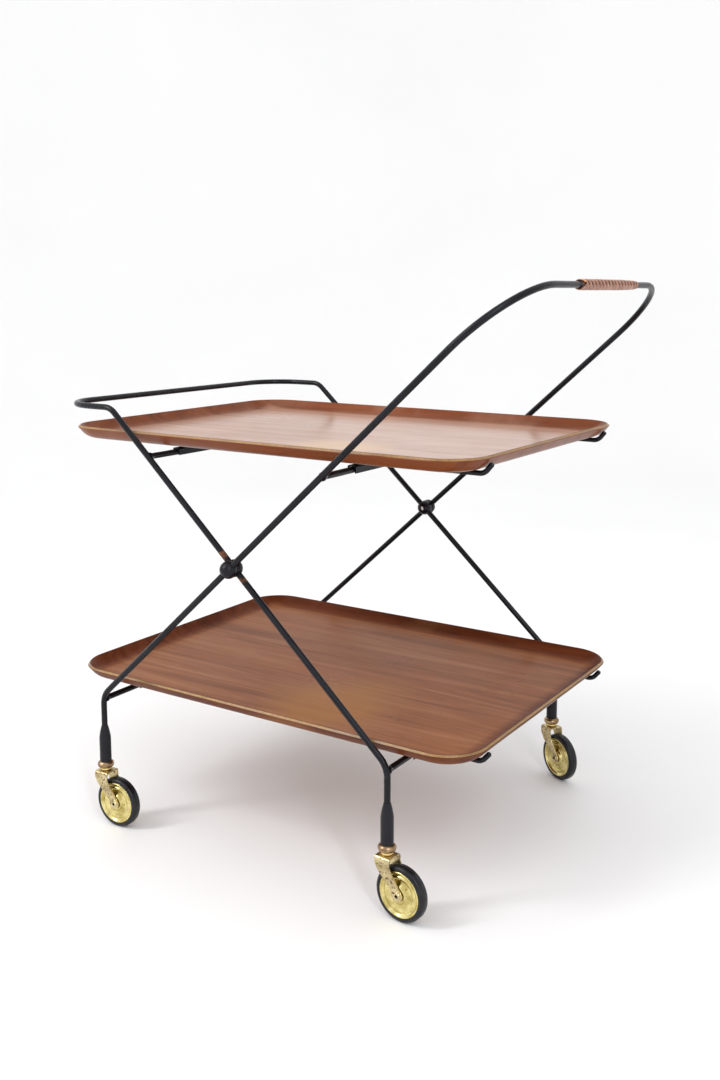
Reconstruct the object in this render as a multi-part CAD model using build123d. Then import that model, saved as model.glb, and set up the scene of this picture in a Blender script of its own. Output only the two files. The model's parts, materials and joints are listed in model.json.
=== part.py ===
from build123d import *
import math
import os

# Folding bar cart: two crossed rod frames on a scissor pivot, two lift-off plywood trays, four casters.
# Frame: +Z up, +X towards the handle, -Y on the left of a person pushing. Millimetres.
# Frame dimensions are given from the scissor pivot in X; every solid is then moved by PIVOT_X so that
# the cart's box is centred on the origin.

# ---- rods and frames ----
ROD_R = 3.75                     # both frame rods
BAR_R = 3.7                      # crossbars
HANDLE_FRAME_Y = 232.0           # centre plane of the outer frame's side rods
GALLERY_FRAME_Y = 222.0          # centre plane of the inner frame's side rods
PIVOT_Z = 364.6
ARM_ANGLE = 42.5                 # slope of the crossed rods, degrees
LEG_X = 211.0                    # vertical legs, from the pivot
ROD_END_Z = 104.0                # bottom of the rods, inside the sockets
KNEE_R = 28.0
HANDLE_X = 356.0                 # handle bar, from the pivot
HANDLE_CORNER_R = 95.0
RAIL_X = -285.0                  # gallery rail bar, from the pivot
RAIL_Z = 541.7
RAIL_BEND_R = 24.0
RAIL_CORNER_R = 55.0

# ---- scissor pivot ----
BALL_R = 10.5
BALL_GAP = 0.4                   # between the flats of a pair of balls
PIN_R = 2.0
PIN_HEAD_R = 3.2
PIN_HEAD_H = 1.4
PIN_END_DEPTH = 6.5              # how far the pin runs past the outer rod's centre
FIT = 0.05                       # radial running clearance

# ---- trays ----
TRAY_HALF_L = 291.3              # upper edge of the rim, from the tray's middle
TRAY_HALF_W = 213.5
TRAY_CORNER_R = 48.0
TOP_TRAY_X = 6.5                 # middle of each tray, from the pivot
BOTTOM_TRAY_X = 9.0
PLY = 4.5
RIM_BEND_R = 18.0                # inner radius of the moulded bend
RIM_ANGLE = 50.0                 # slope of the rim above the bend, degrees
RIM_WALL = 8.0                   # straight length of the rim above the bend
TOP_RIM_Z = 514.0
BOTTOM_RIM_Z = 195.4
TRAY_GAP = 0.3                   # between a tray and its wires

# ---- tray carriers ----
WIRE_R = 3.0
WIRE_Y = 160.0
CHANNEL_HALF_LENGTH = 172.0
CHANNEL_WALL = 1.4
CHANNEL_TOP = 5.5                # above the bar's centre
REST_SLACK = 0.6                 # the open channel is looser than the hinged one
HOOK_START = 12.7                # corner of the hook, past the end of the tray's flat floor
HOOK_ANGLE = 50.0
HOOK_TIP_Z = 8.0                 # above the tray's underside
HOOK_BEND_R = 12.0

# ---- grip ----
GRIP_Y0, GRIP_Y1 = -74.0, 95.0
GRIP_R = 6.4
GRIP_END_R = 4.9
GRIP_TAPER = 45.0

# ---- casters ----
# how far each caster has swivelled from trailing straight back, degrees towards +Y
HEADINGS = {"front_left": 2.5, "front_right": -2.5, "rear_left": -5.5, "rear_right": -28.0}
WHEEL_R = 32.0
TRAIL = 20.5
SOCKET_R = 7.4
SOCKET_BOTTOM, SOCKET_SHOULDER, SOCKET_TOP = 83.5, 114.0, 131.0
NECK_R = 4.3
STEM_R = 3.5
STEM_TOP = 99.5
STEM_HEAD_R = 5.6
STEM_HEAD_H = 2.0
RING_Z, RING_H, RING_R = 94.0, 1.6, 4.2
GROOVE_R = 3.0
COLLAR_R = 10.5
COLLAR_BOTTOM = 74.0
COLLAR_BOSS_R = 6.4
FORK_TOP = 71.3
FORK_SHEET = 1.5
FORK_HALF_TOP = 11.0             # outside half-width at the plate
FORK_HALF_EYE = 9.5              # outside half-width at the axle
FORK_CRANK_Z0, FORK_CRANK_Z1 = 47.0, 52.0
FORK_PLATE_X0, FORK_PLATE_X1 = -9.5, 10.5
EYE_R = 7.0
AXLE_R = 3.0
AXLE_BORE_R = 2.0
AXLE_HEAD_R = 4.3
AXLE_HEAD_H = 1.1
BUSH_R = 4.6
BUSH_HALF = 7.6
DISC_R = 26.4
DISC_SHEET = 1.0
DISC_HOLE_X, DISC_HOLE_R = 12.5, 1.2
TYRE_HALF_W = 6.5
TYRE_EDGE_R = 4.2

GRIP_REACH = HANDLE_X + GRIP_R
RAIL_REACH = RAIL_X - ROD_R
PIVOT_X = -(GRIP_REACH + RAIL_REACH) / 2
SLOPE = math.tan(math.radians(ARM_ANGLE))
KNEE_Z = PIVOT_Z - LEG_X * SLOPE
HANDLE_Z = PIVOT_Z + HANDLE_X * SLOPE
RAIL_BEND_X = -(RAIL_Z - PIVOT_Z) / SLOPE

# tray section: inner and outer ends of the rim, out and up from the end of the flat floor
RIM_SIN, RIM_COS = math.sin(math.radians(RIM_ANGLE)), math.cos(math.radians(RIM_ANGLE))
RIM_OUT = RIM_BEND_R * RIM_SIN + RIM_WALL * RIM_COS
TRAY_H = PLY + RIM_BEND_R * (1 - RIM_COS) + RIM_WALL * RIM_SIN
CHANNEL_DROP = TRAY_H + TRAY_GAP + 2 * WIRE_R + CHANNEL_TOP
TOP_BAR_Z = TOP_RIM_Z - CHANNEL_DROP
BOTTOM_BAR_Z = BOTTOM_RIM_Z - CHANNEL_DROP
TOP_BAR_X = (TOP_BAR_Z - PIVOT_Z) / SLOPE
KNEE_START_Z = KNEE_Z - KNEE_R * math.tan(math.radians(90 - ARM_ANGLE) / 2)
BOTTOM_BAR_X = LEG_X - KNEE_R + math.sqrt(KNEE_R ** 2 - (BOTTOM_BAR_Z - KNEE_START_Z) ** 2)


def save(name, *solids):
    """Write one node; identical pieces may share it as separate solids."""
    shape = solids[0] if len(solids) == 1 else Compound(children=list(solids))
    shape.label = name
    export_step(shape, f"parts/{name}.step")


def place(x=0.0, y=0.0, z=0.0):
    """A place given from the scissor pivot in X."""
    return Pos(PIVOT_X + x, y, z)


def y_rod(x, z, y0, y1, radius):
    """A round bar along Y."""
    middle = place(x, (y0 + y1) / 2, z)
    return middle * Rot(90, 0, 0) * Cylinder(radius, y1 - y0)


def bent_rod(points, radii, radius):
    """A round rod swept along straight runs with arcs at the corners."""
    points = [(PIVOT_X + x, y, z) for x, y, z in points]
    path = FilletPolyline(*points, radius=radii)
    start = Plane(origin=path @ 0, z_dir=path % 0)
    return sweep(start * Circle(radius), path=path)


def turned(points):
    """A solid turned about the Z axis from a closed (radius, z) outline."""
    outline = make_face(Polyline(*[(r, 0, z) for r, z in points], close=True))
    return revolve(outline, Axis.Z)


# ---- frames ----

def handle_frame_rod():
    """Outer frame: one rod, from the front left leg over the handle to the front right leg."""
    y = HANDLE_FRAME_Y
    side = [(-LEG_X, -y, ROD_END_Z), (-LEG_X, -y, KNEE_Z), (HANDLE_X, -y, HANDLE_Z)]
    points = side + [(px, -py, pz) for px, py, pz in reversed(side)]
    rod = bent_rod(points, [KNEE_R, HANDLE_CORNER_R, HANDLE_CORNER_R, KNEE_R], ROD_R)
    return rod - y_rod(0, PIVOT_Z, -y - 9, y + 9, PIN_R)


def gallery_frame_rod():
    """Inner frame: one rod, from the rear left leg round the gallery rail to the rear right leg."""
    y = GALLERY_FRAME_Y
    side = [(LEG_X, -y, ROD_END_Z), (LEG_X, -y, KNEE_Z), (RAIL_BEND_X, -y, RAIL_Z), (RAIL_X, -y, RAIL_Z)]
    points = side + [(px, -py, pz) for px, py, pz in reversed(side)]
    bends = [KNEE_R, RAIL_BEND_R, RAIL_CORNER_R]
    rod = bent_rod(points, bends + bends[::-1], ROD_R)
    return rod - y_rod(0, PIVOT_Z, -y - 9, y + 9, PIN_R + FIT)


def crossbar(x, z, half_length, frame_rod):
    """A bar along Y, its ends coped to the side rods that it is welded to."""
    return y_rod(x, z, -half_length, half_length, BAR_R) - frame_rod


def ball(side, centre_y, arm_sign, keep_outside):
    """Ball on a side rod: a flat towards its partner and a bore for its rod."""
    gap_side = 1 if keep_outside else -1
    flat = (HANDLE_FRAME_Y + GALLERY_FRAME_Y) / 2 + gap_side * BALL_GAP / 2
    cut = place(0, side * (flat - gap_side * 50), PIVOT_Z) * Box(60, 100, 60)
    middle = place(0, side * centre_y, PIVOT_Z)
    rod_bore = middle * Rot(0, arm_sign * (90 - ARM_ANGLE), 0) * Cylinder(ROD_R, 4 * BALL_R)
    return middle * Rot(90, 0, 0) * Sphere(BALL_R) - cut - rod_bore


def outer_ball(side):
    """Ball on the outer rod, with a blind bore for the riveted pin."""
    bore = sorted([side * GALLERY_FRAME_Y, side * (HANDLE_FRAME_Y + PIN_END_DEPTH)])
    return ball(side, HANDLE_FRAME_Y, 1, True) - y_rod(0, PIVOT_Z, *bore, PIN_R)


def inner_ball(side):
    """Ball on the inner rod, turning on the pin and recessed for its head."""
    inside = GALLERY_FRAME_Y - BALL_R - 1
    recess = sorted([side * inside, side * pin_head_y()])
    bore = sorted([side * inside, side * HANDLE_FRAME_Y])
    shell = ball(side, GALLERY_FRAME_Y, -1, False) - y_rod(0, PIVOT_Z, *bore, PIN_R + FIT)
    return shell - y_rod(0, PIVOT_Z, *recess, PIN_HEAD_R + 0.2)


def pin_head_y():
    """Seat of the pin's head in the inner ball, clear of the rod."""
    return GALLERY_FRAME_Y - ROD_R - 2.2


def pivot_pin(side):
    """Rivet from the inner ball's recess, through both rods, into the outer ball."""
    seat = pin_head_y() - FIT
    shank = sorted([side * seat, side * (HANDLE_FRAME_Y + PIN_END_DEPTH)])
    head = sorted([side * (seat - PIN_HEAD_H), side * seat])
    return y_rod(0, PIVOT_Z, *shank, PIN_R) + y_rod(0, PIVOT_Z, *head, PIN_HEAD_R)


def grip_wrap():
    """Wound lace grip as one closed sleeve, thinner at its right end."""
    outline = [(ROD_R, GRIP_Y0), (GRIP_R, GRIP_Y0), (GRIP_R, GRIP_Y1 - GRIP_TAPER),
               (GRIP_END_R, GRIP_Y1), (ROD_R, GRIP_Y1)]
    return place(HANDLE_X, 0, HANDLE_Z) * Rot(-90, 0, 0) * turned(outline)


# ---- trays and carriers ----

def tray(middle_x, rim_z):
    """Moulded plywood tray: flat floor and a rim that bends up and out, square cut at its edge."""
    floor_z = rim_z - TRAY_H
    length = 2 * (TRAY_HALF_L - RIM_OUT)
    width = 2 * (TRAY_HALF_W - RIM_OUT)
    corner_r = TRAY_CORNER_R - RIM_OUT
    outer_r = RIM_BEND_R + PLY
    centre_z = floor_z + outer_r

    def on_bend(radius, degrees):
        angle = math.radians(degrees)
        return (width / 2 + radius * math.sin(angle), centre_z - radius * math.cos(angle))

    def wall_end(radius):
        y, z = on_bend(radius, RIM_ANGLE)
        return (y + RIM_WALL * RIM_COS, z + RIM_WALL * RIM_SIN)

    def section_at(x):
        def point(pair):
            return (x, pair[0], pair[1])
        half = RIM_ANGLE / 2
        outer = ThreePointArc(point(on_bend(outer_r, 0)), point(on_bend(outer_r, half)),
                              point(on_bend(outer_r, RIM_ANGLE)))
        wall = Polyline(outer @ 1, point(wall_end(outer_r)), point(wall_end(RIM_BEND_R)),
                        point(on_bend(RIM_BEND_R, RIM_ANGLE)))
        inner = ThreePointArc(wall @ 1, point(on_bend(RIM_BEND_R, half)),
                              point(on_bend(RIM_BEND_R, 0)))
        return make_face([outer, *wall.edges(), inner, Line(inner @ 1, outer @ 0)])

    path = RectangleRounded(length, width, corner_r).face().outer_wire()
    path = Pos(0, 0, floor_z) * path
    rim = sweep(section_at(0), path=path)
    floor = Pos(0, 0, floor_z) * extrude(RectangleRounded(length, width, corner_r), PLY)
    return place(middle_x) * (floor + rim)


def channel(x, bar_z, hinged):
    """Inverted-U channel over a crossbar; the open one has a short front flange, to lift away."""
    inner_r = BAR_R + (FIT if hinged else REST_SLACK)
    half = inner_r + CHANNEL_WALL
    height = CHANNEL_TOP + BAR_R
    outer = Pos(0, CHANNEL_TOP - height / 2) * Rectangle(2 * half, height)
    top_corners = outer.vertices().group_by(Axis.Y)[-1]
    outer = fillet(top_corners, 2.4)
    profile = outer - Circle(inner_r) - Pos(0, -height / 2) * Rectangle(2 * inner_r, height)
    if not hinged:
        profile -= Pos(-half, 1.2 - height / 2) * Rectangle(2 * half, height)
    solid = extrude(Plane.XZ * profile, CHANNEL_HALF_LENGTH, both=True)
    return place(x, 0, bar_z) * solid


def carrier_wire(middle_x, y, bar_z):
    """Longitudinal wire under a tray, both ends hooked up outside the rim."""
    wire_z = bar_z + CHANNEL_TOP + WIRE_R
    tip_rise = TRAY_GAP + WIRE_R + HOOK_TIP_Z
    tip_out = tip_rise / math.tan(math.radians(HOOK_ANGLE))
    corner = TRAY_HALF_L - RIM_OUT + HOOK_START
    points = [(middle_x - corner - tip_out, y, wire_z + tip_rise), (middle_x - corner, y, wire_z),
              (middle_x + corner, y, wire_z), (middle_x + corner + tip_out, y, wire_z + tip_rise)]
    return bent_rod(points, [HOOK_BEND_R, HOOK_BEND_R], WIRE_R)


# ---- casters, turned and stamped about their own leg axis ----

def leg_socket():
    """Turned socket: rod from above, caster stem from below, groove for the grip ring."""
    body = turned([(0, SOCKET_BOTTOM), (SOCKET_R - 0.8, SOCKET_BOTTOM), (SOCKET_R, SOCKET_BOTTOM + 0.8),
                   (SOCKET_R, SOCKET_SHOULDER), (NECK_R, SOCKET_TOP), (0, SOCKET_TOP)])
    rod_bore = Pos(0, 0, (ROD_END_Z + SOCKET_TOP + 5) / 2) * Cylinder(ROD_R, SOCKET_TOP + 5 - ROD_END_Z)
    stem_depth = STEM_TOP + 1 - SOCKET_BOTTOM
    stem_bore = Pos(0, 0, SOCKET_BOTTOM + stem_depth / 2) * Cylinder(STEM_R + FIT, stem_depth)
    groove = Pos(0, 0, RING_Z) * Cylinder(RING_R + 0.3, RING_H + 0.8)
    return body - rod_bore - stem_bore - groove


def swivel_collar():
    """Rounded collar under the socket, with a short boss towards the fork."""
    middle = (COLLAR_BOTTOM + SOCKET_BOTTOM) / 2
    height = SOCKET_BOTTOM - COLLAR_BOTTOM
    ring = fillet((Pos(0, 0, middle) * Cylinder(COLLAR_R, height)).edges(), 3.6)
    boss_top = COLLAR_BOTTOM + 1
    boss_bottom = FORK_TOP + 0.3
    boss = Pos(0, 0, (boss_top + boss_bottom) / 2) * Cylinder(COLLAR_BOSS_R, boss_top - boss_bottom)
    return ring + boss - Pos(0, 0, middle) * Cylinder(STEM_R + FIT, 2 * height)


def swivel_stem():
    """Stem riveted under the fork plate, grooved near its top for the grip ring."""
    plate_bottom = FORK_TOP - FORK_SHEET
    groove = RING_H / 2 + 0.1
    return turned([(0, plate_bottom - STEM_HEAD_H), (STEM_HEAD_R - 1, plate_bottom - STEM_HEAD_H),
                   (STEM_HEAD_R, plate_bottom - 1), (STEM_HEAD_R, plate_bottom),
                   (STEM_R, plate_bottom), (STEM_R, RING_Z - groove), (GROOVE_R, RING_Z - groove),
                   (GROOVE_R, RING_Z + groove), (STEM_R, RING_Z + groove), (STEM_R, STEM_TOP - 1),
                   (STEM_R - 1, STEM_TOP), (0, STEM_TOP)])


def grip_ring():
    """Sprung split ring that keeps the stem in its socket."""
    ring = Cylinder(RING_R, RING_H) - Cylinder(GROOVE_R, RING_H)
    return Pos(0, 0, RING_Z) * (ring - Pos(RING_R, 0, 0) * Box(2 * RING_R, 1.2, 2 * RING_H))


def fork():
    """Stamped fork: a plate on top and two cranked sides that narrow to the axle eyes."""
    def strip(inset):
        top, eye = FORK_HALF_TOP - inset, FORK_HALF_EYE - inset
        low = WHEEL_R - EYE_R - 5
        left = [(-eye, low), (-eye, FORK_CRANK_Z0), (-top, FORK_CRANK_Z1), (-top, FORK_TOP - inset)]
        face = make_face(Polyline(*left, *[(-y, z) for y, z in reversed(left)], close=True))
        return fillet(face.vertices().group_by(Axis.Y)[-1], 3.4 - inset)
    front = extrude(Plane.YZ * (strip(0) - strip(FORK_SHEET)), 60, both=True)
    plate_middle = (FORK_PLATE_X0 + FORK_PLATE_X1) / 2
    shoulder = Pos(plate_middle, FORK_TOP - 4) * Rectangle(FORK_PLATE_X1 - FORK_PLATE_X0, 8)
    eye = Pos(TRAIL, WHEEL_R) * Circle(EYE_R)
    outline = make_hull(shoulder.edges() + eye.edges())
    side = extrude(Plane.XZ * outline, FORK_HALF_TOP + 5, both=True)
    stem_hole = Pos(0, 0, FORK_TOP) * Cylinder(STEM_R, 10)
    axle_hole = Pos(TRAIL, 0, WHEEL_R) * Rot(90, 0, 0) * Cylinder(AXLE_R, 60)
    return (front & side) - stem_hole - axle_hole


def on_axle(solid):
    """Stand a solid that was turned about Z on the wheel's axle, along Y."""
    return Pos(TRAIL, 0, WHEEL_R) * Rot(-90, 0, 0) * solid


def axle():
    """Hollow rivet through both eyes, headed outside them."""
    half = FORK_HALF_EYE
    end = half + AXLE_HEAD_H
    rivet = turned([(AXLE_BORE_R, -end), (AXLE_HEAD_R - 0.6, -end), (AXLE_HEAD_R, -half - 0.3),
                    (AXLE_HEAD_R, -half), (AXLE_R, -half), (AXLE_R, half), (AXLE_HEAD_R, half),
                    (AXLE_HEAD_R, half + 0.3), (AXLE_HEAD_R - 0.6, end), (AXLE_BORE_R, end)])
    return on_axle(rivet)


def wheel_bush():
    """Plain bush that the wheel turns on."""
    return on_axle(Cylinder(BUSH_R, 2 * BUSH_HALF) - Cylinder(AXLE_R + FIT, 2 * BUSH_HALF))


def wheel_discs():
    """Two pressed discs, back to back: dished hub, ring bead, raised lip, flange under the tyre."""
    face = [(BUSH_R, 7.0), (8.8, 7.0), (11.0, 4.6), (17.6, 4.2), (18.7, 5.0), (20.0, 5.0),
            (20.9, 4.2), (22.9, 4.6), (24.4, 6.2), (DISC_R, 6.2)]
    back = [(DISC_R, 0.0), (DISC_R - DISC_SHEET, 0.0), (DISC_R - DISC_SHEET, 5.2), (24.8, 5.2),
            (23.5, 3.6), (20.7, 3.2), (19.6, 4.0), (18.9, 4.0), (17.8, 3.2), (10.4, 3.6),
            (8.4, 6.0), (BUSH_R, 6.0)]
    half = turned(face + back) - Pos(DISC_HOLE_X, 0, 4) * Cylinder(DISC_HOLE_R, 6)
    return [on_axle(half), on_axle(Rot(180, 0, 0) * half)]


def tyre():
    """Rubber tyre with a rounded crown."""
    section = Pos(DISC_R + 5, 0) * Rectangle(10, 2 * TYRE_HALF_W)
    section &= Pos((DISC_R + WHEEL_R) / 2, 0) * Rectangle(WHEEL_R - DISC_R, 2 * TYRE_HALF_W)
    crown = section.vertices().group_by(Axis.X)[-1]
    section = fillet(crown, TYRE_EDGE_R)
    return on_axle(revolve(Plane.XZ * section, Axis.Z))


def build_frames():
    outer_rod = handle_frame_rod()
    inner_rod = gallery_frame_rod()
    save("handle_frame_rod", outer_rod)
    save("gallery_frame_rod", inner_rod)
    save("handle_frame_upper_crossbar", crossbar(TOP_BAR_X, TOP_BAR_Z, HANDLE_FRAME_Y, outer_rod))
    save("handle_frame_lower_crossbar", crossbar(-BOTTOM_BAR_X, BOTTOM_BAR_Z, HANDLE_FRAME_Y, outer_rod))
    save("gallery_frame_upper_crossbar", crossbar(-TOP_BAR_X, TOP_BAR_Z, GALLERY_FRAME_Y, inner_rod))
    save("gallery_frame_lower_crossbar", crossbar(BOTTOM_BAR_X, BOTTOM_BAR_Z, GALLERY_FRAME_Y, inner_rod))
    for name, side in (("left", -1), ("right", 1)):
        save(f"{name}_outer_pivot_ball", outer_ball(side))
        save(f"{name}_inner_pivot_ball", inner_ball(side))
        save(f"{name}_pivot_pin", pivot_pin(side))
    save("handle_grip_wrap", grip_wrap())


def build_trays():
    for name, middle_x, rim_z, bar_x, bar_z in (
            ("top", TOP_TRAY_X, TOP_RIM_Z, TOP_BAR_X, TOP_BAR_Z),
            ("bottom", BOTTOM_TRAY_X, BOTTOM_RIM_Z, BOTTOM_BAR_X, BOTTOM_BAR_Z)):
        save(f"{name}_tray", tray(middle_x, rim_z))
        save(f"{name}_carrier_hinge_channel", channel(-bar_x, bar_z, hinged=True))
        save(f"{name}_carrier_rest_channel", channel(bar_x, bar_z, hinged=False))
        save(f"{name}_carrier_left_wire", carrier_wire(middle_x, -WIRE_Y, bar_z))
        save(f"{name}_carrier_right_wire", carrier_wire(middle_x, WIRE_Y, bar_z))


def build_casters():
    pieces = {"leg_socket": leg_socket(), "swivel_collar": swivel_collar(),
              "swivel_stem": swivel_stem(), "grip_ring": grip_ring(), "fork": fork(),
              "axle": axle(), "wheel_bush": wheel_bush(), "tyre": tyre()}
    discs = wheel_discs()
    legs = {"front_left": (-LEG_X, -HANDLE_FRAME_Y), "front_right": (-LEG_X, HANDLE_FRAME_Y),
            "rear_left": (LEG_X, -GALLERY_FRAME_Y), "rear_right": (LEG_X, GALLERY_FRAME_Y)}
    for corner, (x, y) in legs.items():
        leg = place(x, y) * Rot(0, 0, HEADINGS[corner])
        for piece, solid in pieces.items():
            save(f"{corner}_{piece}", leg * solid)
        save(f"{corner}_wheel_discs", *[leg * disc for disc in discs])


os.makedirs("parts", exist_ok=True)
build_frames()
build_trays()
build_casters()
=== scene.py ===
import json
import math
import random

import bmesh
import bpy
from mathutils import Matrix, Vector, noise

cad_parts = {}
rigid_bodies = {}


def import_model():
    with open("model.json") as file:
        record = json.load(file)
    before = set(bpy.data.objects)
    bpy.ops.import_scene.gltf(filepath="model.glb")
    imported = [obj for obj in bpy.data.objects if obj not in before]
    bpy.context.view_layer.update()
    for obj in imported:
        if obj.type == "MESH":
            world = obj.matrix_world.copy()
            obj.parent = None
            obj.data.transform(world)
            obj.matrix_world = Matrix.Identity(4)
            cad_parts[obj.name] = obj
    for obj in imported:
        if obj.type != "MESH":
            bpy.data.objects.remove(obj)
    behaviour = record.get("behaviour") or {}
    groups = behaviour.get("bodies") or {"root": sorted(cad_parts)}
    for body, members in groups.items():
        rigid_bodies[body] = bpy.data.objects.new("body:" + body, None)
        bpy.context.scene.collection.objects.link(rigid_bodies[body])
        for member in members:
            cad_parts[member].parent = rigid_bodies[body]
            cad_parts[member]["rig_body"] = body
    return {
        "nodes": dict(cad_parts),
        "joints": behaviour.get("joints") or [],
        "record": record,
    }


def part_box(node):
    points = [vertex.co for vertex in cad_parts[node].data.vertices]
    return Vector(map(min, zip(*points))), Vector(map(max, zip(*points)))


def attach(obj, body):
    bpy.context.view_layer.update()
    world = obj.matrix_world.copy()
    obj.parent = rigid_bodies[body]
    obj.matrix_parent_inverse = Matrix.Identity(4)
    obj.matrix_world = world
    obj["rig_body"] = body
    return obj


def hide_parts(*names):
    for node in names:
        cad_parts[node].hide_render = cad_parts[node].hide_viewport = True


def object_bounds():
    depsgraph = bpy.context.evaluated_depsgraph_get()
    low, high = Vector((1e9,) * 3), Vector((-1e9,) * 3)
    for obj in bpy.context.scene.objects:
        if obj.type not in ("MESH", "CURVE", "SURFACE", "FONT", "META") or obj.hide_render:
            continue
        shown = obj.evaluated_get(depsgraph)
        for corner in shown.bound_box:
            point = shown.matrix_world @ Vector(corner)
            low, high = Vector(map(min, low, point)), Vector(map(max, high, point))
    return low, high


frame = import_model()
cad_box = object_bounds()

# Folding bar cart. Everything is in metres, in the row frame: +X towards the handle, +Y to the right
# of a person pushing, +Z up. Lengths written as 3 * MM are millimetres.
MM = 0.001
NODES = frame["nodes"]
SLOT_OF = {part["node"]: part["material_slot"] for part in frame["record"]["subparts"]}
JOINTS = {joint["name"]: joint for joint in frame["joints"]}
CORNERS = ("front_left", "front_right", "rear_left", "rear_right")


# ---- measures of the frame ----

def middle(node):
    """The middle of a CAD node's box."""
    low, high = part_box(node)
    return (low + high) / 2


PIVOT = Vector(JOINTS["frame_fold"]["pos_m"])
ROD_R = 3.75 * MM
HANDLE_LOW, HANDLE_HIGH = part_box("handle_frame_rod")
HANDLE = HANDLE_HIGH - Vector((ROD_R, ROD_R, ROD_R))
SLOPE = (HANDLE.z - PIVOT.z) / (HANDLE.x - PIVOT.x)
KNEE_R = 28 * MM
HANDLE_CORNER_R = 95 * MM
RAIL_BEND_R = 24 * MM
RAIL_CORNER_R = 55 * MM

# tray section: ply, inner radius of the bend, slope and straight length of the rim, corner at its edge
PLY = 4.5 * MM
TRAY_BEND_R = 18 * MM
RIM_ANGLE = math.radians(50)
RIM_WALL = 8 * MM
TRAY_CORNER_R = 48 * MM
HOOK_ANGLE = math.radians(50)
HOOK_BEND_R = 12 * MM

# casters: fork sheet, its half-widths at the plate and at the axle, its plate along X, eye and rivet
FORK_SHEET = 1.5 * MM
FORK_HALF_TOP, FORK_HALF_EYE = 11 * MM, 9.5 * MM
PLATE_X0, PLATE_X1 = -9.5 * MM, 10.5 * MM
EYE_R = 7 * MM
RIVET_HOLE_R = 2.95 * MM
DISC_HALF, TYRE_HALF = 7 * MM, 6.5 * MM
DISC_HOLE_X, DISC_HOLE_R = 12.5 * MM, 1.25 * MM
DISC_HOLE_ANGLE = {"front_left": 0, "front_right": 120, "rear_left": 44, "rear_right": -4}


def heading(corner):
    """How far a caster has turned about its leg, from the axle's direction."""
    axis = JOINTS[f"{corner}_wheel_spin"]["axis"]
    return math.atan2(-axis[0], axis[1])


def wheel_place(corner):
    """The middle of a wheel as its caster trails straight back from the leg axis."""
    leg, wheel = JOINTS[f"{corner}_swivel"]["pos_m"], JOINTS[f"{corner}_wheel_spin"]["pos_m"]
    return Vector((math.hypot(wheel[0] - leg[0], wheel[1] - leg[1]), 0, wheel[2]))


# ---- shader graphs ----

def new_material(name, settings):
    """A material with one Principled shader; settings are the sockets that stay the same all over."""
    made = bpy.data.materials.new(name)
    made.use_nodes = True
    shader = made.node_tree.nodes["Principled BSDF"]
    for socket, value in settings.items():
        shader.inputs[socket].default_value = value
    return made, made.node_tree, shader


def node(tree, kind, inputs, **properties):
    """A shader node; inputs may be numbers, colours or other nodes' sockets."""
    made = tree.nodes.new("ShaderNode" + kind)
    for key, value in properties.items():
        setattr(made, key, value)
    for key, value in inputs.items():
        if isinstance(value, bpy.types.NodeSocket):
            tree.links.new(value, made.inputs[key])
        else:
            made.inputs[key].default_value = value
    return made


def place(tree, stretch=(1, 1, 1)):
    """Object coordinates in metres, stretched."""
    coordinates = node(tree, "TexCoord", {})
    return node(tree, "Mapping", {"Vector": coordinates.outputs["Object"], "Scale": stretch}).outputs[0]


def cloud(tree, where, size, detail=3.0, roughness=0.5, distortion=0.0):
    """Noise from 0 to 1 whose features are about size metres across."""
    made = node(tree, "TexNoise", {"Vector": where, "Scale": 1 / size, "Detail": detail,
                                   "Roughness": roughness, "Distortion": distortion})
    return made.outputs["Fac"]


def ramp(tree, value, stops):
    """A colour ramp through (position, colour) stops."""
    made = node(tree, "ValToRGB", {"Fac": value})
    elements = made.color_ramp.elements
    while len(elements) < len(stops):
        elements.new(0.5)
    for element, (position, colour) in zip(elements, stops):
        element.position = position
        element.color = (*colour, 1) if len(colour) == 3 else colour
    return made.outputs["Color"]


def grey_ramp(tree, value, stops):
    """A ramp between grey levels, used as a mask."""
    return ramp(tree, value, [(position, (level, level, level)) for position, level in stops])


def blend(tree, factor, first, second, how="MIX"):
    """Two colours mixed by a mask."""
    made = node(tree, "Mix", {0: factor, 6: first, 7: second}, data_type="RGBA", blend_type=how)
    return made.outputs[2]


def relief(tree, shader, height, depth, strength=1.0):
    """Bump from a height; depth is what a height of 1 stands for, in metres."""
    made = node(tree, "Bump", {"Height": height, "Strength": strength, "Distance": depth})
    tree.links.new(made.outputs["Normal"], shader.inputs["Normal"])


def near(tree, point, reach):
    """A mask that is 1 at a point of the row frame and 0 beyond reach."""
    coordinates = node(tree, "TexCoord", {})
    gap = node(tree, "VectorMath", {0: coordinates.outputs["Object"], 1: point}, operation="DISTANCE")
    return node(tree, "MapRange", {"Value": gap.outputs["Value"], "From Min": 0.0, "From Max": reach,
                                   "To Min": 1.0, "To Max": 0.0}).outputs[0]


def math_node(tree, operation, first, second):
    return node(tree, "Math", {0: first, 1: second}, operation=operation).outputs[0]


# ---- materials ----

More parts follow.
